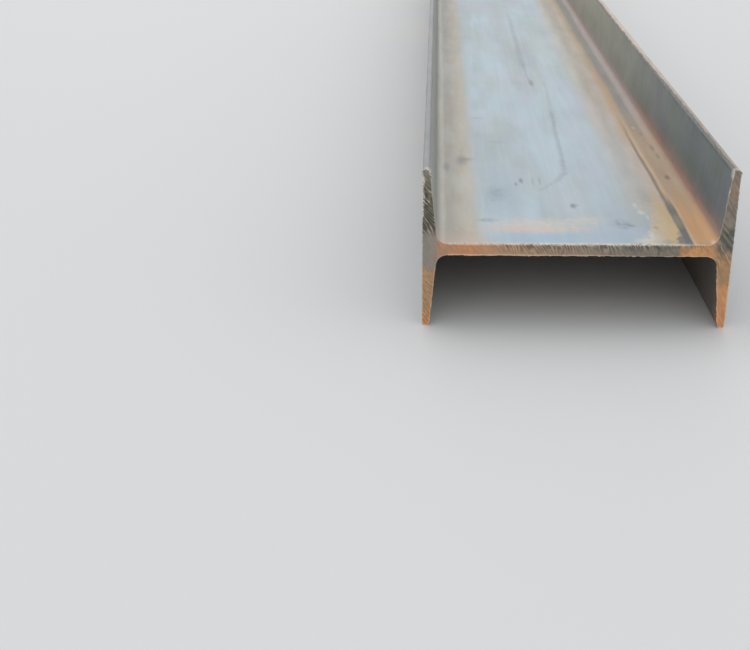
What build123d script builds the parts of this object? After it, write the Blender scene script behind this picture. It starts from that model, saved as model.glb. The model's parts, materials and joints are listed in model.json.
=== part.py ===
"""Hot-rolled steel I-beam with tapered flanges, as mill stock sawn to length.

It lies with its web level, on the tips of both flanges. X runs across the depth of the section, Y along
the beam and Z from flange tip to flange tip. The origin is on the ground, under the middle of the beam.
"""

import os
from math import radians, tan

from build123d import *

# Stock length, in millimetres as everything below
beam_length = 6000.0

# Rolled section
section_depth = 180.0  # over both flanges
flange_width = 97.0  # from tip to tip
web_thickness = 6.8
flange_thickness = 6.2  # halfway between the web and a tip
flange_taper = 5.7  # degrees between a flange's flat outer face and its sloping inner one
root_radius = 6.5  # where the web meets a flange
toe_radius = 2.0  # inner corner of a flange tip
corner_radius = 1.5  # outer corner of a flange tip

# The sloping face of a flange, from the web out to its tip
half_depth = section_depth / 2
half_width = flange_width / 2
half_web = web_thickness / 2
outstand = half_width - half_web
thickness_gain = tan(radians(flange_taper)) * outstand / 2
root_thickness = flange_thickness + thickness_gain
tip_thickness = flange_thickness - thickness_gain

# One quarter of the outline, from the middle of the web round the tip to the middle of the flange
web_middle = (0, half_web)
root = (half_depth - root_thickness, half_web)
toe = (half_depth - tip_thickness, half_width)
tip = (half_depth, half_width)
flange_middle = (half_depth, 0)

# The section stands on its flange tips, so its middle is half a flange above the ground
section_plane = Plane.XZ.shift_origin((0, 0, half_width))

with BuildPart() as i_beam:
    with BuildSketch(section_plane):
        with BuildLine():
            FilletPolyline(
                web_middle,
                root,
                toe,
                tip,
                flange_middle,
                radius=(root_radius, toe_radius, corner_radius),
            )
            mirror(about=Plane.YZ)
            mirror(about=Plane.XZ)
        make_face()
    extrude(amount=beam_length / 2, both=True)

os.makedirs("parts", exist_ok=True)
i_beam.part.label = "i_beam"
export_step(i_beam.part, "parts/i_beam.step")
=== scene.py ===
"""Looks of a hot-rolled steel I-beam with mill scale, rust and saw-cut ends.

The beam's surface is one closed mesh. It is swept along Y round the rolled section, and closed at both
ends by a fine grid that carries the saw marks. Lengths are in metres.
"""

import json
import math
from functools import reduce

import bpy
import numpy as np
from mathutils import Matrix, Vector, geometry, noise


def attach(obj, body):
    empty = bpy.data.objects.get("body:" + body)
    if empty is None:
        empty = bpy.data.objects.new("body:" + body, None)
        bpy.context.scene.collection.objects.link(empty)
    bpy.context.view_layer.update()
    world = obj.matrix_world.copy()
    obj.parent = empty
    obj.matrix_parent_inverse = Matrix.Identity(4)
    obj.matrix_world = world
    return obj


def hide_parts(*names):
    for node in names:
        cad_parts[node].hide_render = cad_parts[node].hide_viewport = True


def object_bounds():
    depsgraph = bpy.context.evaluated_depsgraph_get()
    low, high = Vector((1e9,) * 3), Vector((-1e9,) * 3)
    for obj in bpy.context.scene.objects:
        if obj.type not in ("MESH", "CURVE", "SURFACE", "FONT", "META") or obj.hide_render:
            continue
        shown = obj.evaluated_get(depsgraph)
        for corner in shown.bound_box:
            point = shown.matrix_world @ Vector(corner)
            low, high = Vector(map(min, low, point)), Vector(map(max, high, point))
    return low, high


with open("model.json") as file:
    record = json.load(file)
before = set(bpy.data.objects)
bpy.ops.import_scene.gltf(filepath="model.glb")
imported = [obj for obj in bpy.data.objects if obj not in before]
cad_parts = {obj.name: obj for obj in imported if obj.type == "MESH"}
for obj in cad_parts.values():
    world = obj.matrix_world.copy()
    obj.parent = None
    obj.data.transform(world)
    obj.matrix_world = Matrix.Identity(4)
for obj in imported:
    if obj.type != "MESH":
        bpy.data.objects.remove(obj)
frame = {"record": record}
cad_low, cad_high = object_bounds()

# The section, from the frame
mounts = {mount["name"]: mount for mount in frame["record"]["mounts"]}
web_top = mounts["web_upper_face"]["pos_m"][2]
web_bottom = mounts["web_lower_face"]["pos_m"][2]
mid_height = (web_top + web_bottom) / 2
half_depth = (cad_high.x - cad_low.x) / 2
half_width = (cad_high.z - cad_low.z) / 2
half_web = (web_top - web_bottom) / 2
near_end = cad_low.y
far_end = cad_high.y
beam_length = far_end - near_end

# The section's own details
flange_thickness = 0.0062  # halfway between the web and a tip
taper = math.tan(math.radians(5.7))
root_radius = 0.0065
toe_radius = 0.002
corner_radius = 0.0015
inner_middle = half_depth - flange_thickness
outstand = half_width - half_web
root_x = inner_middle - taper * outstand / 2
toe_x = inner_middle + taper * outstand / 2

# How finely the surface is divided
straight_pitch = 0.0045
fine_split = 8  # points round an end for each one elsewhere
root_steps = 5
toe_steps = 4
corner_steps = 3
end_grid_pitch = 0.0004
end_grid_margin = end_grid_pitch * 0.6  # between an end's outline and its grid
merge_distance = 1e-7
end_ring_depths = (0.0, 0.0004, 0.001, 0.002, 0.0035)
first_plain_ring = 0.007
close_pitch = 0.008
wide_pitch = 0.05
pitch_growth = 0.05  # of the rings near the far end, for each metre from it
photographed_length = 0.95
far_detail_length = 0.3

# Relief
wave_height = 0.0001
wave_size = 0.05
rib_height = 0.00005
rib_size = 0.009
saw_mark_pitch = 0.0016
right_flange_pitch = 2.2  # of the marks there, for each one elsewhere
saw_mark_depth = 0.00035
saw_mark_lean = math.radians(58)
blade_radius = 0.5  # of the marks' slight curve
burr_reach = 0.0012
burr_overhang = 0.3  # of its reach that it stands past the end
burr_fade = 0.0018
rim_width = 0.0007
smooth_grain = 0.00003
rusty_grain = 0.00012
cut_grain = 0.00006
salt_step = 17.3  # between two random fields

# Colours of the skin, as reflected shares of red, green and blue
blue_scale = (0.45, 0.545, 0.59)
grey_scale = (0.39, 0.43, 0.45)
green_scale = (0.415, 0.485, 0.46)
lilac_scale = (0.47, 0.495, 0.565)
# Painted reflection: blue sheen in patches on the web
painted_deep_blue_sheen = (0.36, 0.45, 0.52)
painted_blue_sheen = (0.36, 0.465, 0.56)
# Painted shade on the flanges' outer faces
outer_shade_slate = (0.16, 0.172, 0.175)
# Painted shade on the right flange's inner face: dark slates
shade_green_slate = (0.152, 0.176, 0.162)
shade_blue_slate = (0.16, 0.172, 0.19)
warm_slate = (0.36, 0.345, 0.285)
# Painted reflection on the left flange's inner face: a lighter slate
sheen_slate = (0.4, 0.4, 0.37)
# Painted shade on the flanges' outer faces, its darkest part
outer_shade_dark = (0.05, 0.055, 0.056)
beige_film = (0.43, 0.395, 0.325)
dull_beige = (0.39, 0.366, 0.308)
warm_beige = (0.465, 0.42, 0.345)
yellow_line = (0.5, 0.455, 0.355)
cream_film = (0.475, 0.44, 0.37)
# Painted highlight along the left root fillet
fillet_highlight = (0.455, 0.44, 0.39)
grey_film = (0.47, 0.47, 0.45)
pink_film = (0.572, 0.492, 0.425)
yellow_film = (0.52, 0.42, 0.29)
pale_splash = (0.61, 0.51, 0.345)
splash_film = (0.62, 0.455, 0.25)
olive_film = (0.35, 0.33, 0.3)
# Pink film under a painted highlight along the right root fillet
mauve_fillet_sheen = (0.47, 0.41, 0.38)
orange_film = (0.61, 0.43, 0.27)
pink_patch = (0.56, 0.45, 0.41)
tan_rust = (0.6, 0.362, 0.188)
edge_cream = (0.61, 0.455, 0.31)
dull_tan = (0.49, 0.37, 0.265)
root_rust = (0.41, 0.23, 0.18)
root_mauve = (0.42, 0.31, 0.285)
root_brown = (0.37, 0.255, 0.195)
orange_rust = (0.42, 0.19, 0.075)
brown_rust = (0.17, 0.085, 0.045)
yellow_rust = (0.3, 0.2, 0.07)
line_grey = (0.182, 0.174, 0.155)
line_brown = (0.31, 0.25, 0.2)
speck_grey = (0.16, 0.19, 0.2)
scratch_grey = (0.275, 0.28, 0.335)
low_film = (0.3, 0.217, 0.172)
line_blue = (0.18, 0.175, 0.195)
line_green = (0.34, 0.32, 0.215)
grey_green = (0.41, 0.44, 0.42)
mauve_grey = (0.42, 0.38, 0.34)
olive_tan = (0.44, 0.35, 0.24)
low_grey = (0.38, 0.35, 0.28)
stroke_cream = (0.64, 0.61, 0.5)
crumb_brown = (0.4, 0.28, 0.18)
crumb_olive = (0.42, 0.37, 0.27)
blush_pink = (0.6, 0.47, 0.4)
shaded_scale = (0.2, 0.18, 0.145)
worn_grey = (0.27, 0.275, 0.275)
# Painted shade on the rounded inner edge of the right flange's tip
toe_shade_slate = (0.165, 0.175, 0.18)
toe_grey = (0.33, 0.325, 0.315)
toe_line = (0.25, 0.235, 0.215)
# Worn steel of the right flange's tip, lightened by a painted sheen
worn_sheen_cream = (0.53, 0.47, 0.39)
worn_sheen_pink = (0.6, 0.475, 0.41)

# Colours of the sawn ends
cut_brown = (0.335, 0.238, 0.166)
cut_grey = (0.215, 0.186, 0.147)
cut_dark = (0.15, 0.14, 0.11)
cut_slate = (0.25, 0.24, 0.205)
cut_mauve = (0.32, 0.245, 0.205)
cut_orange = (0.55, 0.26, 0.12)
cut_tan = (0.435, 0.26, 0.14)
# Bare steel, also used as a painted highlight on saw-mark crests and along cut edges
bare_steel_and_glint = (0.71, 0.66, 0.59)
cut_cream = (0.64, 0.46, 0.33)
cut_fresh = (0.66, 0.27, 0.1)
rim_pink = (0.72, 0.56, 0.45)

floor_grey = (0.72, 0.72, 0.71)
sky_white = (0.95, 0.97, 1.0)
sky_strength = 0.8

# Strips of film along the web's upper face, with painted highlights on the root fillets: the x from and to
# which a colour is full, and the colour
left_strips = (
    # Painted highlight on the left fillet
    (-0.083, -0.08, fillet_highlight),
    (-0.0775, -0.0775, cream_film),
    (-0.0758, -0.069, beige_film),
    (-0.061, -0.056, warm_beige),
)
strips_at_end = left_strips + (
    (-0.05, 0.04, grey_film),
    (0.0435, 0.0435, pale_splash),
    (0.051, 0.0628, splash_film),
    (0.0641, 0.0675, line_grey),
    (0.0688, 0.0688, edge_cream),
    (0.0704, 0.08, tan_rust),
)
strips_behind_end = left_strips + (
    (-0.05, 0.052, grey_film),
    (0.06, 0.0633, pink_film),
    (0.0645, 0.0655, line_brown),
    (0.0668, 0.068, edge_cream),
    (0.0698, 0.08, dull_tan),
)
strips_beyond = left_strips[:2] + (
    (-0.0758, -0.0718, dull_beige),
    (-0.0655, -0.0655, warm_beige),
    (-0.0605, -0.0565, yellow_line),
    (-0.052, 0.04, grey_film),
    (0.052, 0.052, cream_film),
    (0.062, 0.062, pink_film),
    (0.0675, 0.0675, yellow_film),
    (0.0715, 0.0765, olive_film),
    # Painted highlight on the right fillet, over pink film
    (0.079, 0.0815, mauve_fillet_sheen),
)
# Where those films give way to each other, as the x or depth at which a change starts and ends
blue_left = (-0.0625, -0.0505)
blue_right = (0.048, 0.034)
splash_edge = (0.0437, 0.0412)
splash_lean = 0.155  # of that edge, sideways for each metre from the end
splash_end = (0.05, 0.075)
first_change = (0.05, 0.115)
second_change = (0.2, 0.35)
change_start = 0.17  # how early both changes come at the middle of the web
change_lean = 3.0  # and how much later for each metre to the right

# Strips over the inner edge of the right flange's tip, likewise, darkening it as painted shade where it
# rounds down
toe_shade_strips = ((0.0845, 0.0845, toe_shade_slate), (0.0855, 0.0863, toe_grey), (0.0869, 0.0869, toe_line))
# Strips on the sawn ends: along the web by x, and up both flanges by z
cut_web_strips = (
    (-0.084, -0.084, (0.38, 0.25, 0.16)),
    (-0.079, -0.079, (0.44, 0.25, 0.145)),
    (-0.073, -0.073, (0.5, 0.245, 0.125)),
    (-0.066, -0.06, cut_orange),
    (-0.045, -0.045, (0.46, 0.28, 0.165)),
    (-0.02, -0.02, cut_brown),
    (0.01, 0.01, (0.29, 0.235, 0.175)),
    (0.03, 0.058, cut_grey),
    (0.0645, 0.0645, (0.61, 0.3, 0.125)),
    (0.08, 0.08, (0.5, 0.28, 0.14)),
)
cut_left_strips = (
    (0.002, 0.002, cut_orange),
    (0.012, 0.032, cut_tan),
    (0.04, 0.056, cut_slate),
    (0.062, 0.078, (0.135, 0.122, 0.09)),
    (0.088, 0.088, (0.165, 0.15, 0.105)),
    (0.094, 0.094, cut_slate),
)
cut_right_strips = (
    (0.002, 0.024, (0.6, 0.29, 0.135)),
    (0.031, 0.043, (0.385, 0.23, 0.12)),
    (0.049, 0.059, cut_dark),
    (0.064, 0.064, (0.22, 0.185, 0.15)),
    (0.074, 0.074, (0.23, 0.19, 0.15)),
    (0.082, 0.082, (0.275, 0.205, 0.145)),
    (0.09, 0.09, (0.265, 0.2, 0.14)),
    (0.0955, 0.0955, cut_grey),
)
# A chip in the web's sawn edge, by its x and softness, and a scar down the right flange
chip_reach = (0.064, 0.069, 0.001)
scar_top_x = 0.0828
scar_top_z = 0.052
scar_run = 0.007
scar_fall = 0.0115

spot_fray = 1.8  # how far a ragged edge moves, in parts of a spot's half size
# Smears, marks and specks on the web's upper face: x, distance from the near end, half sizes, softness,
# strength and colour
web_smears = (
    (-0.019, 0.036, 0.024, 0.01, 0.8, 0.85, (0.61, 0.55, 0.44)),
    (-0.025, 0.027, 0.031, 0.0055, 0.8, 0.85, (0.62, 0.49, 0.455)),
    (0.012, 0.046, 0.01, 0.007, 0.7, 0.6, (0.6, 0.55, 0.44)),
    (0.046, 0.01, 0.006, 0.009, 0.6, 0.6, (0.6, 0.57, 0.53)),
    (0.0457, 0.02, 0.0016, 0.0075, 0.5, 0.8, stroke_cream),
    (0.0403, 0.008, 0.0045, 0.0045, 0.6, 0.75, stroke_cream),
    (-0.0422, 0.1, 0.005, 0.012, 0.9, 0.28, speck_grey),
    (-0.05, 0.0444, 0.006, 0.003, 0.8, 0.42, speck_grey),
    (0.031, 0.038, 0.005, 0.008, 0.9, 0.28, speck_grey),
)
# The blue marks are painted reflections, a blue sheen on the web
web_marks = (
    (0.03, 0.035, 0.022, 0.045, 0.8, 0.5, painted_deep_blue_sheen),
    (-0.018, 0.011, 0.023, 0.009, 0.8, 0.75, painted_blue_sheen),
    (0.02, 0.02, 0.018, 0.012, 0.9, 0.35, painted_blue_sheen),
    (-0.038, 0.11, 0.012, 0.05, 0.8, 0.4, painted_deep_blue_sheen),
    (-0.011, 0.8, 0.008, 0.11, 0.9, 0.7, grey_scale),
    (0.026, 0.6, 0.01, 0.07, 0.8, 0.6, green_scale),
    (0.0775, 0.192, 0.0013, 0.018, 0.8, 0.55, crumb_olive),
    (0.063, 0.0, 0.0034, 0.02, 0.35, 0.85, line_blue),
    (0.0664, 0.043, 0.0022, 0.011, 0.7, 0.65, line_green),
    (0.043, 0.046, 0.0075, 0.016, 0.9, 0.55, grey_green),
    (0.0405, 0.08, 0.006, 0.018, 0.9, 0.45, grey_green),
    (0.0525, 0.092, 0.007, 0.018, 0.9, 0.55, mauve_grey),
    (0.077, 0.075, 0.0036, 0.02, 0.8, 0.4, olive_tan),
    (0.0529, 0.005, 0.006, 0.0055, 0.6, 0.65, low_grey),
    (0.0622, 0.258, 0.003, 0.03, 0.9, 0.5, orange_film),
    (0.065, 0.33, 0.0032, 0.05, 0.9, 0.6, orange_film),
    (0.0675, 0.425, 0.0034, 0.06, 0.9, 0.55, orange_film),
    (0.0484, 0.314, 0.005, 0.06, 0.9, 0.4, pink_patch),
)
web_specks = (
    (0.0445, 0.075, 0.0013, 0.0044, 0.7, 0.6, stroke_cream),
    (0.0464, 0.0605, 0.0018, 0.004, 0.7, 0.75, stroke_cream),
    (0.0489, 0.0515, 0.0009, 0.0044, 0.7, 0.6, stroke_cream),
    (0.0507, 0.032, 0.0013, 0.0028, 0.8, 0.6, crumb_brown),
    (0.072, 0.002, 0.0014, 0.0036, 0.9, 0.55, crumb_brown),
    (0.0748, 0.0015, 0.0022, 0.004, 0.9, 0.65, crumb_olive),
    (0.0772, 0.0008, 0.0011, 0.0024, 0.9, 0.7, crumb_brown),
    (0.079, 0.0012, 0.001, 0.004, 0.9, 0.75, bare_steel_and_glint),
    (0.0774, 0.2125, 0.001, 0.0075, 0.8, 0.75, line_brown),
    (0.0779, 0.1895, 0.0009, 0.006, 0.8, 0.7, line_brown),
    (0.0755, 0.254, 0.0013, 0.004, 0.9, 0.5, line_brown),
    (0.0726, 0.273, 0.0012, 0.0034, 0.9, 0.55, stroke_cream),
    (0.0757, 0.137, 0.0014, 0.0044, 0.8, 0.6, brown_rust),
)
grey_specks = (
    (-0.0245, 0.1288, 0.0012, 0.0052, 0.7, 0.7),
    (-0.0283, 0.1208, 0.001, 0.0036, 0.7, 0.6),
    (-0.0166, 0.127, 0.0007, 0.011, 0.9, 0.3),
    (-0.0118, 0.129, 0.0007, 0.008, 0.9, 0.4),
    (0.0052, 0.0732, 0.0015, 0.0046, 0.8, 0.75),
    (0.0066, 0.075, 0.002, 0.002, 0.9, 0.4),
    (-0.064, 0.178, 0.0036, 0.011, 0.8, 0.55),
    (-0.06, 0.182, 0.004, 0.004, 0.9, 0.35),
    (-0.075, 0.162, 0.0022, 0.009, 0.8, 0.45),
    (0.0345, 0.037, 0.0024, 0.0024, 0.9, 0.48),
    (0.0292, 0.0395, 0.0012, 0.005, 0.9, 0.35),
    (0.0368, 0.0345, 0.0022, 0.0018, 0.9, 0.45),
    (0.032, 0.031, 0.0022, 0.0016, 0.9, 0.35),
    (0.004, 0.437, 0.0018, 0.011, 0.8, 0.65),
    (-0.0495, 0.305, 0.004, 0.003, 0.9, 0.22),
    (-0.038, 0.23, 0.005, 0.0026, 0.9, 0.18),
)
web_specks += tuple((*speck, speck_grey) for speck in grey_specks)
# Long scratches there: the x and distance of both ends, how far each bows sideways, half its width
# and its strength
scratches = (
    (0.0032, 0.86, 0.0016, 0.49, 0.0, 0.0034, 0.42),
    (0.0016, 0.535, 0.004, 0.433, -0.0006, 0.002, 0.5),
    (-0.0008, 0.64, -0.0018, 0.5, 0.0003, 0.002, 0.22),
    (0.0168, 0.47, 0.011, 0.27, 0.0005, 0.0026, 0.3),
    (0.0128, 0.345, 0.0074, 0.15, 0.0003, 0.0023, 0.42),
    (0.0078, 0.185, 0.0068, 0.142, 0.0, 0.004, 0.3),
    (0.0076, 0.15, 0.0001, 0.126, -0.0005, 0.0034, 0.42),
    (0.0005, 0.128, -0.0133, 0.106, -0.001, 0.003, 0.3),
)


def smooth_noise(places, size, salt):
    """Returns a smooth random value from -1 to 1 at each place, with features of about the given size."""
    return np.array([noise.noise(place) for place in places / size + salt * salt_step])


def smooth_step(value, low, high):
    """Returns 0 below low and 1 above high, with a smooth rise between them."""
    share = np.clip((value - low) / (high - low), 0.0, 1.0)
    return share * share * (3 - 2 * share)


def rounded_outline(corners, split):
    """Returns the points of a closed outline, from corners given as a place, a radius and its steps."""
    arcs = []
    for i, (corner, radius, steps) in enumerate(corners):
        corner = np.array(corner)
        back = np.array(corners[i - 1][0]) - corner
        ahead = np.array(corners[(i + 1) % len(corners)][0]) - corner
        back /= np.linalg.norm(back)
        ahead /= np.linalg.norm(ahead)
        half = math.acos(float(back @ ahead)) / 2
        centre = corner + (back + ahead) / np.linalg.norm(back + ahead) * radius / math.sin(half)
        start = corner + back * radius / math.tan(half) - centre
        end = corner + ahead * radius / math.tan(half) - centre
        first = math.atan2(start[1], start[0])
        turn = (math.atan2(end[1], end[0]) - first + math.pi) % (2 * math.pi) - math.pi
        angles = first + turn * np.arange(steps * split + 1) / (steps * split)
        arcs.append(centre + radius * np.stack((np.cos(angles), np.sin(angles)), axis=1))
    points = []
    for i, arc in enumerate(arcs):
        points += list(arc[:-1])
        run = arcs[(i + 1) % len(arcs)][0] - arc[-1]
        steps = max(1, round(np.linalg.norm(run) / straight_pitch)) * split
        points += [arc[-1] + run * k / steps for k in range(steps)]
    return np.array(points)


def section_ring(split):
    """Returns the I-shaped outline about the beam's middle, anticlockwise as seen from the near end."""
    quarter = [
        ((root_x, half_web), root_radius, root_steps),
        ((toe_x, half_width), toe_radius, toe_steps),
        ((half_depth, half_width), corner_radius, corner_steps),
    ]
    corners = []
    for flip_x, flip_z in ((1, -1), (1, 1), (-1, 1), (-1, -1)):
        for (x, z), radius, steps in quarter if flip_x * flip_z < 0 else quarter[::-1]:
            corners.append(((x * flip_x, z * flip_z), radius, steps))
    return rounded_outline(corners, split)


def within_section(x, z, margin):
    """Tells which places lie inside the section, at least the margin from its outline."""
    across = np.abs(x)
    up = np.abs(z - mid_height)
    inner = inner_middle + (up - (half_width + half_web) / 2) * taper
    in_web = up < half_web - margin
    in_flange = across > inner + margin
    from_root = np.hypot(across - (root_x - root_radius), up - (half_web + root_radius))
    in_root = (across > root_x - root_radius) & (up < half_web + root_radius)
    in_root &= from_root > root_radius + margin
    from_toe = np.hypot(across - toe_x - toe_radius, up - half_width + toe_radius)
    off_toe = (across < toe_x + toe_radius) & (up > half_width - toe_radius)
    off_toe &= from_toe > toe_radius - margin
    in_bounds = (across < half_depth - margin) & (up < half_width - margin)
    return (in_web | in_flange | in_root) & in_bounds & ~off_toe


def coarse_depths():
    """Returns how far each plain ring lies from the near end."""
    near = list(np.arange(first_plain_ring, photographed_length - close_pitch / 2, close_pitch))
    far = [first_plain_ring]
    while far[-1] < far_detail_length:
        far.append(far[-1] + close_pitch + pitch_growth * far[-1])
    middle = beam_length - far[-1] - photographed_length
    steps = round(middle / wide_pitch)
    middles = [photographed_length + middle * k / steps for k in range(steps)]
    return near + middles + [beam_length - depth for depth in reversed(far)]


def skin_relief(places):
    """Returns how far the rolled skin stands off its true face: slow waves and faint ribs along the beam."""
    waves = smooth_noise(places * (1.0, 0.35, 1.0), wave_size, 1)
    ribs = smooth_noise(places * (1.0, 0.02, 1.0), rib_size, 2)
    return wave_height * waves + rib_height * ribs


def mark_strength(x, z):
    """Returns how clear the saw's marks are on an end, by the x and z at which an onlooker sees them."""
    from_left = smooth_step(x, -0.062, -0.022)
    to_right = smooth_step(x, 0.054, 0.062)
    near_top = smooth_step(z, web_bottom + 0.0015, web_top - 0.0005)
    web = (0.16 + 0.64 * from_left * (1 - 0.7 * to_right)) * (0.25 + 0.75 * near_top)
    left = 1.3 * smooth_step(z, 0.056, 0.064) + 0.25 * (1 - smooth_step(z, 0.03, 0.04))
    left *= 1 - 0.7 * smooth_step(z, 0.082, 0.09)
    right = 0.1 + 0.3 * smooth_step(z, 0.034, 0.046) * (1 - 0.7 * smooth_step(z, 0.058, 0.07))
    return np.where(x < -root_x, left, np.where(x > root_x, right, web))


def cut_depth(places, side):
    """Returns how deep the saw's marks are at places on an end, from 0 at their crests to 1."""
    across = np.array((math.sin(saw_mark_lean) * -side, math.cos(saw_mark_lean)))
    along = np.array((math.cos(saw_mark_lean) * -side, -math.sin(saw_mark_lean)))
    flat = places[:, [0, 2]] - (0.0, mid_height)
    crossing = np.linalg.norm(flat + across * blade_radius, axis=1) - blade_radius
    lines = np.stack((crossing, flat @ along, np.full(len(flat), side)), axis=1)
    wander = 2.6 * smooth_noise(lines * (1.0, 0.25, 1.0), 0.008, 3)
    on_web = np.abs(places[:, 0]) < root_x
    wander += (0.25 + 0.65 * on_web) * smooth_noise(lines * (1.0, 0.4, 1.0), 0.003, 7)
    seen_x = places[:, 0] * -side
    pitch = np.where(seen_x > root_x, right_flange_pitch, 1.0) * saw_mark_pitch
    from_crest = 1 - np.abs((crossing / pitch + wander) % 1.0 * 2 - 1)
    groove = smooth_step(from_crest, 0.0, 0.8)
    loud = 0.15 + 0.85 * smooth_step(smooth_noise(lines * (1.0, 0.5, 1.0), 0.005, 4), -0.4, 0.3)
    fine = smooth_noise(lines * (1.0, 0.3, 1.0), 0.0009, 5)
    marks = mark_strength(seen_x, places[:, 2]) * (loud * (groove - 0.45) + 0.4 * fine)
    return np.clip(0.45 + marks + 0.08 * fine, 0.0, 1.0)


def edge_shares(places, outward, side):
    """Returns how much burr and how bright a rim each place on the outline of an end has; the bright rim is
    partly burr and partly a painted highlight.
    """
    x = places[:, 0] * -side
    z = places[:, 2]
    is_left = x < 0
    on_web = np.abs(x) < root_x - root_radius
    zones = [on_web & (outward[:, 2] > 0), on_web, np.abs(x) > half_depth - corner_radius]
    near_tip = smooth_step(z, 0.088, 0.094)
    broken = 0.3 + 0.7 * smooth_step(smooth_noise(places, 0.005, 12 + side), -0.3, 0.3)
    rusted = smooth_step(x, 0.056, 0.07)
    bare = 1 - 0.6 * rusted * (1 - smooth_step(z, 0.06, 0.07))
    inner_burr = 0.3 + 0.15 * rusted + 1.1 * near_tip
    burr = np.select(zones, [bare, 0.4, 0.25 + 0.4 * near_tip], inner_burr)
    low_edge = 1.0 - 0.5 * smooth_step(x, 0.0, 0.04)
    light_run = smooth_step(z, 0.066, 0.074) * (1 - smooth_step(z, 0.09, 0.094))
    outer_edge = 0.25 + 0.4 * is_left * smooth_step(z, 0.06, 0.068) + 2.0 * is_left * light_run
    flecks = smooth_step(z, 0.07, 0.076) * (1 - smooth_step(z, 0.084, 0.088))
    inner_edge = 0.15 + 0.5 * flecks * (x > 0) + 0.6 * near_tip
    return burr, np.select(zones, [bare, low_edge, outer_edge * broken], inner_edge * broken * bare)


def burr_height(places, outward, side):
    """Returns how far the ragged burr stands out along the rim of an end, from 0 to 1."""
    bits = smooth_noise(places, 0.0012, 8 + side) + 0.6 * smooth_noise(places, 0.003, 6 + side)
    runs = smooth_noise(places, 0.016, 10 + side)
    ragged = smooth_step(bits, -0.45, 0.4) * (0.5 + 0.5 * smooth_step(runs, -0.4, 0.2))
    torn = np.clip(1.35 - 0.9 * cut_depth(places, side), 0.0, 1.0)
    return ragged * torn * edge_shares(places, outward, side)[0] * smooth_step(places[:, 2], 0.0, 0.003)


class Surface:
    """Gathers the points and faces of the beam before they become one mesh."""

    def __init__(self):
        self.points = []
        self.marks = {"worn": [], "cut": [], "rim": []}
        self.faces = []
        self.slots = []
        self.map_places = []
        self.size = 0

    def add_points(self, places, **marks):
        """Adds points, with the share of each mark that they bear, and returns the first one's number."""
        first = self.size
        self.points.append(places)
        self.size += len(places)
        for name, values in self.marks.items():
            values.append(marks.get(name, np.zeros(len(places))))
        return first

    def add_face(self, corners, map_places, slot):
        self.faces.append(corners)
        self.map_places += map_places
        self.slots.append(slot)

    def make_object(self, name):
        mesh = bpy.data.meshes.new(name)
        mesh.from_pydata(np.concatenate(self.points).tolist(), [], self.faces)
        mesh.polygons.foreach_set("material_index", self.slots)
        mesh.polygons.foreach_set("use_smooth", [True] * len(self.faces))
        mesh.uv_layers.new(name="OFBake").uv.foreach_set("vector", np.array(self.map_places).ravel())
        for mark, values in self.marks.items():
            mesh.attributes.new(mark, "FLOAT", "POINT").data.foreach_set("value", np.concatenate(values))
        mesh.update()
        return add_object(name, mesh)


# The bake map: each strip of skin as its first depth, left edge and scale, and each end as its corner
# and scale
map_margin = 0.005
strip_middle = (photographed_length + beam_length) / 2
skin_strips = ((0.0, map_margin, 0.765), (photographed_length, 0.555, 0.305), (strip_middle, 0.778, 0.305))
end_patches = {-1: (0.01, 0.755, 2.35), 1: (0.56, 0.79, 2.0)}


def skin_map_place(around, depth, middle):
    """Returns a skin point's place on the bake map, in the strip that holds its face's middle."""
    first, left, scale = [strip for strip in skin_strips if strip[0] <= middle][-1]
    return (left + around * scale, map_margin + (depth - first) * scale)


def end_map_place(place, side):
    """Returns the place on the bake map of a point on an end, given by its x and z."""
    left, bottom, scale = end_patches[side]
    return (left + (place[0] - cad_low.x) * scale, bottom + place[1] * scale)


def outward_of(ring):
    """Returns the outward direction at each point of a ring."""
    run = np.roll(ring, -1, axis=0) - np.roll(ring, 1, axis=0)
    outward = np.stack((run[:, 1], np.zeros(len(ring)), -run[:, 0]), axis=1)
    return outward / np.linalg.norm(outward, axis=1, keepdims=True)


def add_ring(surface, flat, outward, depth, side):
    """Adds one ring of the skin, with burr where it lies by the end of that side."""
    places = np.insert(flat + (0.0, mid_height), 1, near_end + depth, axis=1)
    stand_off = skin_relief(places)
    burr = np.zeros(len(flat))
    rim_burr_glint = np.zeros(len(flat))
    if side:
        from_end = min(depth, beam_length - depth)
        rim = np.insert(flat + (0.0, mid_height), 1, far_end * side, axis=1)
        burr = burr_height(rim, outward, side) * (1 - smooth_step(from_end, 0.0, burr_fade))
        if from_end == 0:
            overhang = burr * burr_reach * burr_overhang
            places[:, 1] += side * (overhang - cut_depth(rim, side) * saw_mark_depth / 2)
        # How bright the rim is: partly burr, partly a painted highlight
        rim_burr_glint = edge_shares(rim, outward, side)[1]
    places += outward * (stand_off + burr * burr_reach)[:, None]
    places[:, 2] = np.maximum(places[:, 2], cad_low.z)
    return surface.add_points(places, worn=burr, rim=rim_burr_glint)


def strip_faces(count_b, count_a):
    """Returns the corners of the faces between count_b points in a row and the count_a beside them.

    The corners are numbered along the first row and back along the other one. Where one row has more
    points, the other one has two.
    """
    last = count_b + count_a - 1
    if count_b == count_a:
        return [(0, 1, 2, 3)]
    if count_b > count_a:
        middle = count_b // 2
        fans = [(k, k + 1, last if k < middle else last - 1) for k in range(count_b - 1)]
        return fans + [(middle, last - 1, last)]
    middle = count_b + count_a // 2
    return [(k, k + 1, 1 if k < middle else 0) for k in range(count_b, last)] + [(0, 1, middle)]


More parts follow.
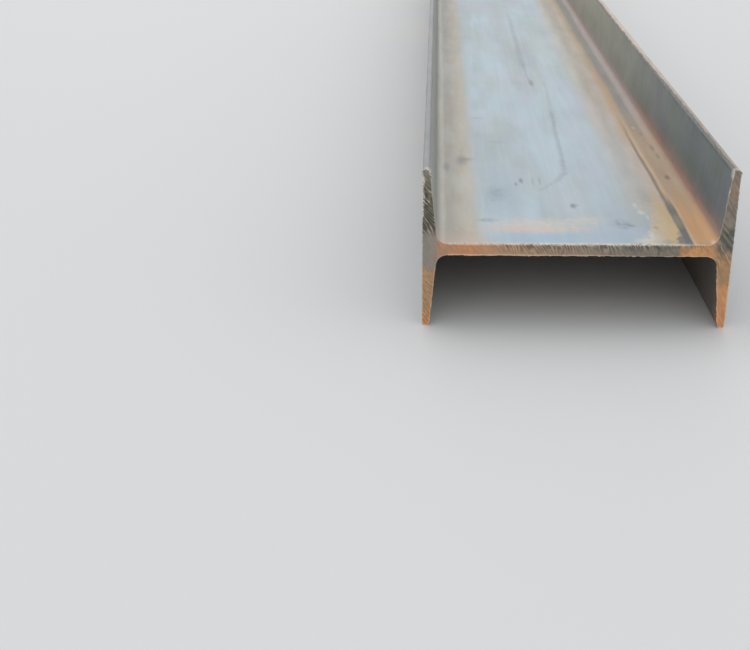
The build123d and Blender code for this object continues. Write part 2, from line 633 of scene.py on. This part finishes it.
def add_skin(surface):
    """Adds the rolled skin, and returns the numbers of the first points of its two end rings."""
    fine = section_ring(fine_split)
    outward = outward_of(fine)
    steps = np.linalg.norm(np.roll(fine, -1, axis=0) - fine, axis=1)
    around = np.concatenate(([0.0], np.cumsum(steps)))

    rings = [(depth, 1, -1) for depth in end_ring_depths]
    rings += [(depth, fine_split, 0) for depth in coarse_depths()]
    rings += [(beam_length - depth, 1, 1) for depth in reversed(end_ring_depths)]
    firsts = [add_ring(surface, fine[::skip], outward[::skip], depth, side) for depth, skip, side in rings]
    for (depth_a, skip_a, _), (depth_b, skip_b, _), a, b in zip(rings, rings[1:], firsts, firsts[1:]):
        middle = (depth_a + depth_b) / 2
        step = max(skip_a, skip_b)
        for i in range(0, len(fine), step):
            side_b = list(range(i, i + step + 1, skip_b))
            side_a = list(range(i + step, i - 1, -skip_a))
            numbers = [b + j % len(fine) // skip_b for j in side_b]
            numbers += [a + j % len(fine) // skip_a for j in side_a]
            map_places = [skin_map_place(around[j], depth_b, middle) for j in side_b]
            map_places += [skin_map_place(around[j], depth_a, middle) for j in side_a]
            for face in strip_faces(len(side_b), len(side_a)):
                surface.add_face([numbers[k] for k in face], [map_places[k] for k in face], 0)
    return firsts[0], firsts[-1]


def add_end(surface, side, first_on_rim):
    """Closes one end with a grid that carries the saw marks."""
    ring = section_ring(fine_split)
    outline = ring + (0.0, mid_height)
    row_pitch = end_grid_pitch * math.sqrt(3) / 2
    row, column = np.mgrid[0 : int(2 * half_width / row_pitch), 0 : int(2 * half_depth / end_grid_pitch)]
    x = cad_low.x + (column + 0.5 * (row % 2)) * end_grid_pitch
    z = cad_low.z + row * row_pitch
    inside = within_section(x, z, end_grid_margin)
    flat = np.stack((x[inside], z[inside]), axis=1)
    edges = [(i, (i + 1) % len(outline)) for i in range(len(outline))]
    points = [Vector(place) for place in (*outline, *flat)]
    # An output type of 1 keeps only the triangles inside the outline
    triangulated = geometry.delaunay_2d_cdt(points, edges, [], 1, merge_distance)
    triangles = triangulated[2]
    origin = [sources[0] for sources in triangulated[3]]

    places = np.insert(flat, 1, far_end * side, axis=1)
    cut = cut_depth(places, side)
    # The bright rim along the outline: partly burr, partly a painted highlight
    rim_burr_glint = edge_shares(np.insert(outline, 1, far_end * side, axis=1), outward_of(ring), side)[1]
    gaps = [np.hypot(*(outline - place).T) for place in flat]
    rim = np.array([rim_burr_glint[gap.argmin()] * math.exp(-gap.min() / rim_width) for gap in gaps])
    places[:, 1] -= side * cut * saw_mark_depth
    first_inside = surface.add_points(places, cut=cut, rim=rim)
    numbers = [*range(first_on_rim, first_on_rim + len(outline)), *range(first_inside, surface.size)]
    map_places = [end_map_place(place, side) for place in (*outline, *flat)]
    for triangle in triangles:
        corners = [origin[j] for j in (triangle if side < 0 else triangle[::-1])]
        surface.add_face([numbers[j] for j in corners], [map_places[j] for j in corners], 1)


def add_object(name, data):
    """Makes an object and puts it into the scene."""
    made = bpy.data.objects.new(name, data)
    bpy.context.scene.collection.objects.link(made)
    return made


def mark_sharp_rims(mesh):
    """Marks the edges between the skin and the ends as sharp."""
    counts = np.zeros((len(mesh.edges), 2), dtype=bool)
    for polygon in mesh.polygons:
        for loop in polygon.loop_indices:
            counts[mesh.loops[loop].edge_index, polygon.material_index] = True
    mesh.attributes.new("sharp_edge", "BOOLEAN", "EDGE").data.foreach_set("value", counts.all(axis=1))


class Look:
    """One procedural material, built by short calls that each add a node or two."""

    def __init__(self, name):
        self.material = bpy.data.materials.new(name)
        self.material.use_nodes = True
        self.tree = self.material.node_tree
        self.shader = self.tree.nodes["Principled BSDF"]
        self.place = self.add("ShaderNodeTexCoord").outputs["Object"]
        self.x, self.y, self.z = self.add("ShaderNodeSeparateXYZ", {"Vector": self.place}).outputs
        self.depth = self.maths("SUBTRACT", self.y, near_end)
        self.from_middle = self.maths("ABSOLUTE", self.maths("SUBTRACT", self.z, mid_height))

    def add(self, kind, inputs=None, **settings):
        node = self.tree.nodes.new(kind)
        for name, value in settings.items():
            setattr(node, name, value)
        for name, value in (inputs or {}).items():
            self.feed(node.inputs[name], value)
        return node

    def feed(self, socket, value):
        if isinstance(value, bpy.types.NodeSocket):
            self.tree.links.new(value, socket)
        elif isinstance(value, tuple) and socket.type == "RGBA":
            socket.default_value = (*value, 1.0)
        else:
            socket.default_value = value

    def maths(self, operation, a, b=0.0, c=0.0):
        return self.add("ShaderNodeMath", {0: a, 1: b, 2: c}, operation=operation).outputs[0]

    def product(self, *shares):
        return reduce(lambda a, b: self.maths("MULTIPLY", a, b), shares)

    def largest(self, *shares):
        return reduce(lambda a, b: self.maths("MAXIMUM", a, b), shares)

    def without(self, share):
        return self.maths("SUBTRACT", 1.0, share)

    def rise(self, value, low, high):
        """Rises smoothly from 0 at low to 1 at high, or falls where high is the smaller."""
        inputs = {"Value": value, "From Min": low, "From Max": high}
        return self.add("ShaderNodeMapRange", inputs, interpolation_type="SMOOTHSTEP").outputs["Result"]

    def between(self, value, low, high, soft):
        """Is 1 between low and high and 0 outside, softened at both."""
        above = self.rise(value, low - soft, low + soft)
        return self.product(above, self.rise(value, high + soft, high - soft))

    def scaled(self, share, low, high):
        """Stretches a share from 0 to 1 onto low to high."""
        return self.maths("MULTIPLY_ADD", share, high - low, low)

    def sway(self, value, share, reach):
        """Moves a value by up to the reach either way, with a share from 0 to 1."""
        return self.maths("ADD", value, self.scaled(share, -reach, reach))

    def mix(self, share, a, b):
        """Mixes two colours. The node's sockets go by number, because their names repeat."""
        return self.add("ShaderNodeMix", {0: share, 6: a, 7: b}, data_type="RGBA").outputs[2]

    def blend(self, share, a, b):
        """Mixes two numbers in the same way."""
        return self.add("ShaderNodeMix", {0: share, 2: a, 3: b}, data_type="FLOAT").outputs[0]

    def lay(self, upper, colour, *shares):
        """Lays one colour over another one, as thickly as all the shares together."""
        return self.mix(self.product(*shares), colour, upper)

    def shade(self, colour, factor):
        """Multiplies a colour by a number."""
        return self.add("ShaderNodeVectorMath", {0: colour, "Scale": factor}, operation="SCALE").outputs[0]

    def vary(self, colour, share, low, high):
        """Multiplies a colour by low where the share is 0 and by high where it is 1."""
        return self.shade(colour, self.scaled(share, low, high))

    def strips(self, value, low, high, stops):
        """Lays colours side by side, from stops given as the values from and to which each is full."""
        share = self.add("ShaderNodeMapRange", {"Value": value, "From Min": low, "From Max": high})
        node = self.add("ShaderNodeValToRGB", {"Fac": share.outputs["Result"]})
        elements = node.color_ramp.elements
        for first, last, colour in stops:
            for place in sorted({first, last}):
                elements.new((place - low) / (high - low)).color = (*colour, 1.0)
        elements.remove(elements[0])
        elements.remove(elements[-1])
        return node.outputs["Color"]

    def noise(self, size, along=1.0, up=1.0, detail=4, rough=0.5, salt=0):
        """Gives a random share with features of the given size, stretched along the beam or upwards."""
        moved = {"Vector": self.place, "Scale": (1.0, 1.0 / along, 1.0 / up), "Location": [salt] * 3}
        vector = self.add("ShaderNodeMapping", moved).outputs[0]
        inputs = {"Vector": vector, "Scale": 1.0 / size, "Detail": detail, "Roughness": rough}
        return self.add("ShaderNodeTexNoise", inputs).outputs["Fac"]

    def patches(self, size, low, high, along=1.0, detail=4, salt=0):
        return self.rise(self.noise(size, along, 1.0, detail, 0.6, salt), low, high)

    def mark(self, name):
        return self.add("ShaderNodeAttribute", attribute_name=name).outputs["Fac"]

    def spot(self, x, depth, half_x, half_y, soft, ragged):
        """Covers an ellipse on the web, with an edge that a ragged share moves in and out."""
        off_x = self.maths("DIVIDE", self.maths("SUBTRACT", self.x, x), half_x)
        off_y = self.maths("DIVIDE", self.maths("SUBTRACT", self.depth, depth), half_y)
        far = self.maths("SQRT", self.maths("ADD", self.product(off_x, off_x), self.product(off_y, off_y)))
        edge = 1 + spot_fray / 2
        return self.rise(self.maths("MULTIPLY_ADD", ragged, spot_fray, far), edge + soft, edge - soft)

    def finish(self, colour, metallic, roughness, height):
        bump = self.add("ShaderNodeBump", {"Height": height, "Distance": 1.0, "Strength": 1.0}).outputs[0]
        inputs = {"Base Color": colour, "Metallic": metallic, "Roughness": roughness, "Normal": bump}
        for name, value in inputs.items():
            self.feed(self.shader.inputs[name], value)
        return self.material


class SkinLook(Look):
    """The rolled skin's material, with shares that tell the sides of the section apart."""

    def __init__(self):
        super().__init__("rolled_skin")
        wavy_x = self.sway(self.x, self.noise(0.05, 5.0, detail=3), 0.0015)
        self.wavy_x = self.sway(wavy_x, self.noise(0.006, 6.0, salt=3), 0.0012)
        self.speckle = self.noise(0.0012, detail=3, rough=0.7, salt=7)
        self.mottle = self.noise(0.035, 2.0, detail=5, rough=0.6)

        across = self.maths("ABSOLUTE", self.x)
        self.upper = self.rise(self.z, mid_height - 0.002, mid_height + 0.002)
        self.on_right = self.rise(self.x, -0.001, 0.001)
        self.flange = self.rise(self.from_middle, half_web + 0.003, half_web + 0.0065)
        self.outer = self.rise(across, half_depth - 0.001, half_depth - 0.0006)
        self.inside = self.rise(across, half_depth - 0.0006, half_depth - 0.0012)


def mill_scale(look):
    """Blue-grey scale whose hue drifts in soft clouds."""
    colour = look.mix(look.rise(look.noise(0.035, 5.0), 0.35, 0.7), blue_scale, grey_scale)
    green = look.rise(look.noise(0.026, 5.0, detail=3, salt=4), 0.45, 0.66)
    colour = look.lay(green_scale, colour, green, 0.65)
    lilac = look.rise(look.noise(0.028, 4.0, detail=3, salt=6), 0.46, 0.66)
    colour = look.lay(lilac_scale, colour, lilac, 0.6)
    streaks = look.noise(0.004, 30.0, detail=3, salt=5)
    return look.vary(colour, streaks, 0.9, 1.1)


def film_share(look):
    """Covers the web's upper face on both sides of its blue scale, and the splash at its right end."""
    slanted_x = look.maths("MULTIPLY_ADD", look.depth, -splash_lean, look.wavy_x)
    past_splash = look.rise(look.depth, *splash_end)
    right = look.blend(past_splash, look.rise(slanted_x, *splash_edge), look.rise(look.wavy_x, *blue_right))
    in_blue = look.product(look.rise(look.wavy_x, *blue_left), right)
    return look.product(look.without(in_blue), look.upper)


def web_films(look):
    """The strips of film and rust along the web's upper face, with painted highlights on the root fillets,
    which change with distance from the end.
    """
    tables = (strips_at_end, strips_behind_end, strips_beyond)
    at_end, behind, beyond = [look.strips(look.wavy_x, -half_depth, half_depth, table) for table in tables]
    ahead = look.maths("MAXIMUM", look.maths("MULTIPLY_ADD", look.x, -change_lean, change_start), 0.0)
    from_end = look.maths("ADD", look.depth, ahead)
    from_end = look.sway(from_end, look.noise(0.01, 6.0, detail=5, rough=0.6), 0.07)
    colour = look.mix(look.rise(from_end, *first_change), at_end, behind)
    colour = look.mix(look.rise(from_end, *second_change), colour, beyond)

    inward = look.product(look.rise(look.wavy_x, 0.06, 0.05), look.rise(look.depth, 0.02, 0.08))
    colour = look.lay(grey_film, colour, look.patches(0.014, 0.42, 0.66, 5.0, salt=9), inward, 0.5)
    far_left = look.product(look.rise(look.x, -0.05, -0.055), look.rise(look.depth, 0.15, 0.7))
    cloud = look.noise(0.009, 7.0, detail=5, rough=0.62, salt=8)
    return look.vary(look.vary(colour, far_left, 1.04, 0.94), cloud, 0.8, 1.2)


def add_spots(look, colour, ragged):
    """Smears, marks and specks on the web's upper face, and patches of painted blue sheen."""
    broken = look.scaled(look.patches(0.004, 0.38, 0.56, 1.0, detail=3, salt=12), 0.35, 1.0)
    frayed = look.noise(0.0014, 1.5, rough=0.65, salt=18)
    kinds = ((web_marks, ragged, 1.0), (web_smears, ragged, broken), (web_specks, frayed, 1.0))
    for spots, edge, cover in kinds:
        for x, depth, half_x, half_y, soft, strength, spot_colour in spots:
            spot = look.spot(x, depth, half_x, half_y, soft, edge)
            colour = look.lay(spot_colour, colour, spot, cover, strength)
    return colour


def add_scratches(look, colour, ragged):
    """Long scratches on the web's upper face, each along a bowed line that fades at both ends."""
    wobbly_x = look.sway(look.x, look.noise(0.01, 4.0, detail=3, salt=16), 0.0018)
    for x_a, depth_a, x_b, depth_b, bow, half_wide, strength in scratches:
        share = look.maths("DIVIDE", look.maths("SUBTRACT", look.depth, depth_a), depth_b - depth_a)
        straight = look.maths("MULTIPLY_ADD", share, x_b - x_a, x_a)
        middle = look.maths("ADD", straight, look.product(share, look.without(share), 4 * bow))
        off = look.maths("ABSOLUTE", look.maths("SUBTRACT", wobbly_x, middle))
        line = look.rise(off, half_wide, half_wide * 0.2)
        faint = look.scaled(look.rise(ragged, 0.3, 0.6), 0.5 * strength, strength)
        colour = look.lay(scratch_grey, colour, line, look.between(share, 0.1, 0.97, 0.1), faint)
    return colour


def flange_scale_and_shade(look):
    """Slate scale with runs down the flanges: dark as painted shade on the right one, lighter as a painted
    reflection on the left one.
    """
    hue = look.noise(0.04, 2.0, salt=36)
    # Painted shade: dark slate on the right flange, warmer and lighter away from the near end
    near = look.mix(look.rise(hue, 0.38, 0.62), shade_green_slate, shade_blue_slate)
    right = look.mix(look.rise(look.depth, -0.03, 0.7), near, warm_slate)
    low = look.product(look.rise(look.z, 0.07, 0.06), look.rise(look.depth, 0.36, 0.24))
    right = look.lay(low_film, right, low, look.scaled(look.rise(look.depth, 0.06, 0.16), 0.45, 0.8))
    # Painted reflection: lighter slate on the left flange
    colour = look.mix(look.on_right, sheen_slate, right)
    colour = look.vary(colour, look.rise(look.z, 0.066, 0.084), 0.95, 1.08)
    toe = look.product(look.rise(look.z, 0.0922, 0.0955), look.patches(0.004, 0.38, 0.6, 4.0, salt=34))
    colour = look.vary(colour, toe, 1.0, 0.7)
    runs = look.noise(0.006, 1.0, up=8.0, salt=31)
    cloud = look.noise(0.03, 2.0, salt=33)
    return look.vary(look.vary(colour, runs, 0.89, 1.11), cloud, 0.72, 1.28)


def outer_shade_scale(look):
    """Painted shade on the outer faces of the flanges: very dark scale with streaks."""
    cloud = look.noise(0.05, 6.0, detail=8, rough=0.7, salt=35)
    streaks = look.noise(0.0025, 25.0, rough=0.6, salt=37)
    return look.vary(look.mix(look.rise(cloud, 0.38, 0.68), outer_shade_dark, outer_shade_slate), streaks, 0.65, 1.35)


def root_share(look):
    """The line of rust along the foot of the right flange."""
    return look.product(look.between(look.z, 0.0553, 0.06, 0.0022), look.rise(look.x, 0.07, 0.072))


def add_root_rust(look, colour, root, fresh):
    """Rust along the root: brown at the end, then red, and mauve where it isn't fresh."""
    rust = look.mix(fresh, root_mauve, root_rust)
    rust = look.mix(look.rise(look.depth, 0.09, 0.02), rust, root_brown)
    return look.lay(rust, colour, root, look.patches(0.007, 0.25, 0.55, 2.5, salt=14), 0.9)


def rust_share(look):
    """Rust in patches, thickest below the web and thin in the photographed part of its upper side."""
    sheltered = look.product(look.upper, look.inside, look.rise(look.depth, 1.4, 0.9))
    cloud = look.noise(0.09, 2.2, detail=6, rough=0.62, salt=13)
    reach = look.maths("MULTIPLY_ADD", sheltered, -0.3, cloud)
    below = look.blend(look.inside, look.rise(look.z, 0.095, 0.01), look.without(look.upper))
    reach = look.maths("MULTIPLY_ADD", below, 0.06, reach)
    return look.rise(reach, 0.55, 0.64)


def patch_rust(look):
    """Rust in orange, brown and yellow."""
    hue = look.noise(0.018, 1.5, salt=41)
    colour = look.mix(look.rise(hue, 0.4, 0.55), yellow_rust, orange_rust)
    colour = look.mix(look.rise(hue, 0.55, 0.72), colour, brown_rust)
    return look.vary(colour, look.speckle, 0.7, 1.3)


def tip_wear_sheen_share(look):
    """The worn tips of the flanges, which also carry a painted sheen, where the right one's wear and sheen
    start lower down away from the end.
    """
    lower_start = look.product(look.rise(look.depth, 0.03, 0.35), look.on_right, 0.0014)
    up = look.maths("ADD", look.from_middle, lower_start)
    return look.rise(up, half_width - 0.002, half_width - 0.0008)


def tip_wear_and_sheen(look):
    """Worn steel on the tips with a painted sheen, warmer and lighter on the right flange and towards its
    outer edge, where painted shade darkens its rounded inner edge.
    """
    cloud = look.noise(0.01, 3.0, salt=43)
    bits = look.noise(0.003, 3.0, detail=5, rough=0.7, salt=46)
    behind_end = look.rise(look.depth, 0.05, 0.4)
    warm = look.mix(look.rise(cloud, 0.35, 0.65), worn_sheen_cream, worn_sheen_pink)
    x = look.maths("ADD", look.sway(look.x, bits, 0.002), look.scaled(behind_end, 0.0, 0.0012))
    # Painted shade where the tip rounds down to its inner edge
    inner = look.strips(x, 0.08, 0.09, toe_shade_strips)
    warm = look.mix(look.rise(x, 0.0871, 0.0878), inner, warm)
    # Painted sheen: the right tip grows lighter away from the near end
    warm = look.vary(warm, behind_end, 0.75, 1.12)
    return look.vary(look.mix(look.on_right, worn_grey, warm), cloud, 0.78, 1.22)


def add_end_wear(look, colour):
    """Pink film, a light band that is partly burr and partly a painted highlight, and bare burr on the skin
    beside the sawn ends.
    """
    from_end = look.maths("SUBTRACT", far_end, look.maths("ABSOLUTE", look.y))
    blush = look.product(look.rise(from_end, 0.03, 0.003), look.rise(look.x, -0.045, -0.058), 0.65)
    colour = look.lay(blush_pink, colour, blush, look.rise(look.z, 0.063, 0.057), look.upper, look.inside)

    ragged = look.sway(from_end, look.noise(0.0016, salt=45), 0.003)
    near_tip = look.rise(look.from_middle, half_width - 0.006, half_width - 0.004)
    ragged = look.maths("ADD", ragged, look.product(near_tip, -0.005))
    # Partly burr, partly a painted highlight along the cut edge
    burr_glint_colour = look.mix(look.rise(look.x, -0.05, -0.02), rim_pink, bare_steel_and_glint)
    colour = look.lay(burr_glint_colour, colour, look.rise(ragged, 0.0045, 0.0004), look.mark("rim"), 0.8)

    bare = look.rise(look.mark("worn"), 0.05, 0.35)
    return look.mix(bare, colour, look.vary(bare_steel_and_glint, look.speckle, 0.5, 1.4))


def rolled_skin():
    """Mill scale with films and rust in strips along the web, rust in patches and worn edges, with painted
    shade, highlights and reflections on the flanges, fillets, tips and web.
    """
    look = SkinLook()
    film = film_share(look)
    root = root_share(look)
    fresh = look.rise(look.depth, 0.45, 0.15)
    stain = rust_share(look)
    worn_sheen_tip = tip_wear_sheen_share(look)
    ragged = look.noise(0.0035, 1.5, rough=0.6, salt=11)

    colour = look.mix(film, mill_scale(look), web_films(look))
    colour = add_scratches(look, add_spots(look, colour, ragged), ragged)
    colour = look.mix(look.without(look.upper), colour, look.vary(shaded_scale, look.mottle, 0.6, 1.4))
    colour = look.mix(look.flange, colour, flange_scale_and_shade(look))
    colour = add_root_rust(look, colour, root, fresh)
    # Painted shade on the outer faces
    colour = look.mix(look.outer, colour, outer_shade_scale(look))
    colour = look.lay(patch_rust(look), colour, stain, 0.85)
    # Worn tips with a painted sheen
    colour = look.lay(tip_wear_and_sheen(look), colour, worn_sheen_tip, 0.9)
    colour = add_end_wear(look, colour)
    colour = look.vary(colour, look.speckle, 0.94, 1.06)

    rusty_film = look.product(film, look.rise(look.wavy_x, 0.045, 0.06))
    rusty = look.largest(stain, rusty_film, look.product(root, fresh))
    clean = look.blend(look.largest(look.flange, film), 0.75, 0.45)
    metallic = look.blend(look.largest(rusty, worn_sheen_tip), clean, 0.1)
    roughness = look.blend(rusty, look.scaled(look.mottle, 0.36, 0.56), 0.8)
    grain = look.noise(0.0016, rough=0.65, salt=15)
    height = look.product(grain, look.blend(rusty, smooth_grain, rusty_grain))
    return look.finish(colour, metallic, roughness, height)


class CutLook(Look):
    """The sawn ends' material, with x as an onlooker sees it and shares that tell web from flange."""

    def __init__(self):
        super().__init__("sawn_end")
        self.wander = self.noise(0.006, salt=21)
        self.seen_x = self.product(self.x, self.maths("SIGN", self.y), -1.0)
        self.edge_x = self.sway(self.seen_x, self.wander, 0.002)
        self.wavy_x = self.sway(self.seen_x, self.wander, 0.014)
        self.wavy_z = self.sway(self.z, self.wander, 0.008)
        self.on_flange = self.rise(self.from_middle, half_web + 0.0015, half_web + 0.0045)
        self.on_web = self.without(self.on_flange)
        self.cut = self.mark("cut")


def cut_strips(look):
    """Rust and bare steel in strips along the web and up both flanges."""
    web = look.strips(look.wavy_x, -0.1, 0.1, cut_web_strips)
    left = look.strips(look.wavy_z, -0.01, 0.11, cut_left_strips)
    right = look.strips(look.wavy_z, -0.01, 0.11, cut_right_strips)
    in_left = look.largest(look.rise(look.edge_x, -0.0795, -0.0855), look.on_flange)
    right_flange = look.product(look.on_flange, look.rise(look.edge_x, -0.01, 0.01))
    in_right = look.largest(look.rise(look.edge_x, 0.0775, 0.0835), right_flange)
    colour = look.mix(in_right, look.mix(in_left, web, left), right)
    inner = look.product(look.rise(look.edge_x, -0.0885, -0.0855), look.rise(look.edge_x, -0.078, -0.082))
    return look.lay(cut_mauve, colour, inner, look.between(look.wavy_z, 0.036, 0.062, 0.006), 0.5)


def add_cut_rust(look, colour):
    """Fresh rust in crumbs by both roots, slate in other crumbs, and a dark chip in the web's upper edge."""
    mottle = look.noise(0.0045, detail=5, rough=0.65, salt=25)
    by_left_root = look.between(look.edge_x, -0.08, -0.053, 0.006)
    by_root = look.largest(by_left_root, look.between(look.edge_x, 0.062, 0.077, 0.003))
    by_root = look.product(by_root, look.on_web)
    colour = look.lay(cut_fresh, colour, look.rise(mottle, 0.54, 0.66), by_root, 0.7)
    colour = look.lay(cut_slate, colour, look.rise(mottle, 0.42, 0.32), 0.4)
    chip = look.product(look.between(look.wavy_x, *chip_reach), look.rise(look.wavy_z, 0.048, 0.051), 0.6)
    return look.lay(cut_dark, colour, chip, look.on_web)


def add_scar(look, colour):
    """A light scar that slants down the right flange."""
    along = look.maths("DIVIDE", look.maths("SUBTRACT", scar_top_z, look.z), scar_fall)
    off = look.maths("SUBTRACT", look.seen_x, look.maths("MULTIPLY_ADD", along, scar_run, scar_top_x))
    off = look.maths("ABSOLUTE", look.sway(off, look.wander, 0.0006))
    scar = look.rise(off, 0.0006, 0.0001)
    return look.lay(cut_cream, colour, scar, look.between(along, 0.05, 0.95, 0.05), 0.55)


def sawn_end():
    """Steel cut by a saw, with painted highlights on the crests and painted shade in the grooves, gone
    orange where water has stood.
    """
    look = CutLook()
    grain = look.noise(0.0011, rough=0.7, salt=23)
    colour = add_scar(look, add_cut_rust(look, cut_strips(look)))
    # Painted shade in the grooves and a painted highlight on the crests of the saw marks
    colour = look.shade(colour, look.blend(look.rise(look.cut, 0.0, 0.9), 1.5, 0.55))
    colour = look.lay(bare_steel_and_glint, colour, look.rise(look.cut, 0.12, 0.0), 0.5)
    colour = look.vary(colour, grain, 0.75, 1.25)
    # A bright rim along the cut edge, partly burr and partly a painted highlight, whiter above the middle
    rim = look.product(look.rise(look.mark("rim"), 0.2, 0.7), look.patches(0.002, 0.3, 0.52, salt=27))
    rim_colour = look.mix(look.rise(look.z, mid_height - 0.001, mid_height + 0.001), cut_cream, bare_steel_and_glint)
    colour = look.lay(rim_colour, colour, rim, look.blend(look.rise(look.cut, 0.4, 0.9), 0.85, 0.25))
    metallic = look.blend(look.cut, 0.3, 0.1)
    return look.finish(colour, metallic, look.blend(look.cut, 0.5, 0.8), look.product(grain, cut_grain))


def pale_floor():
    look = Look("pale_floor")
    return look.finish(floor_grey, 0.0, 0.6, 0.0)


def make_beam():
    """Makes the beam's surface and puts it in the place of its node."""
    surface = Surface()
    near_rim, far_rim = add_skin(surface)
    add_end(surface, -1, near_rim)
    add_end(surface, 1, far_rim)
    beam = surface.make_object("i_beam_surface")
    mark_sharp_rims(beam.data)
    beam.data.materials.append(rolled_skin())
    beam.data.materials.append(sawn_end())
    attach(beam, "root")
    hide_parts("i_beam")


def place_camera():
    """Sets the camera at the photograph's place and angle."""
    photo_width = 750
    focal_pixels = 1200
    data = bpy.data.cameras.new("camera")
    data.sensor_width = 36.0
    data.lens = data.sensor_width * focal_pixels / photo_width
    data.clip_end = 100.0
    place = Vector((-0.0829, -3.6649, 0.2905))
    right = Vector((0.99876, 0.04872, -0.01064)).normalized()
    ahead = Vector((-0.0489, 0.91507, -0.40031))
    ahead = (ahead - right * ahead.dot(right)).normalized()
    turn = Matrix((right, right.cross(ahead), -ahead)).transposed()
    camera = add_object("camera", data)
    camera.matrix_world = Matrix.Translation(place) @ turn.to_4x4()
    bpy.context.scene.camera = camera


def add_soft_light(name, place, target, size, radiance):
    data = bpy.data.lights.new(name, "AREA")
    data.shape = "RECTANGLE"
    data.size, data.size_y = size
    data.energy = radiance * math.pi * size[0] * size[1]
    light = add_object(name, data)
    light.location = place
    light.rotation_mode = "QUATERNION"
    light.rotation_quaternion = (Vector(target) - Vector(place)).to_track_quat("-Z", "Y")
    light.visible_camera = False


def add_stage():
    """Adds the floor, even surroundings and soft lights."""
    reach = 40.0
    corners = [(-reach, -reach, 0), (reach, -reach, 0), (reach, reach, 0), (-reach, reach, 0)]
    mesh = bpy.data.meshes.new("floor")
    mesh.from_pydata(corners, [], [(0, 1, 2, 3)])
    mesh.materials.append(pale_floor())
    floor = add_object("floor", mesh)
    world = bpy.data.worlds.new("studio")
    world.use_nodes = True
    background = world.node_tree.nodes["Background"]
    background.inputs["Color"].default_value = (*sky_white, 1.0)
    background.inputs["Strength"].default_value = sky_strength
    bpy.context.scene.world = world
    middle = (0.0, 0.0, 0.0)
    near = (0.0, near_end, 0.0)
    add_soft_light("overhead", place=(-2.0, 0.0, 5.0), target=middle, size=(6.0, 8.0), radiance=0.5)
    add_soft_light("back", place=(0.0, 9.0, 3.5), target=near, size=(10.0, 5.0), radiance=0.45)
    add_soft_light("front", place=(-0.5, -8.0, 3.0), target=near, size=(6.0, 4.0), radiance=0.5)


make_beam()
add_stage()
place_camera()
bpy.context.scene.view_settings.view_transform = "Standard"
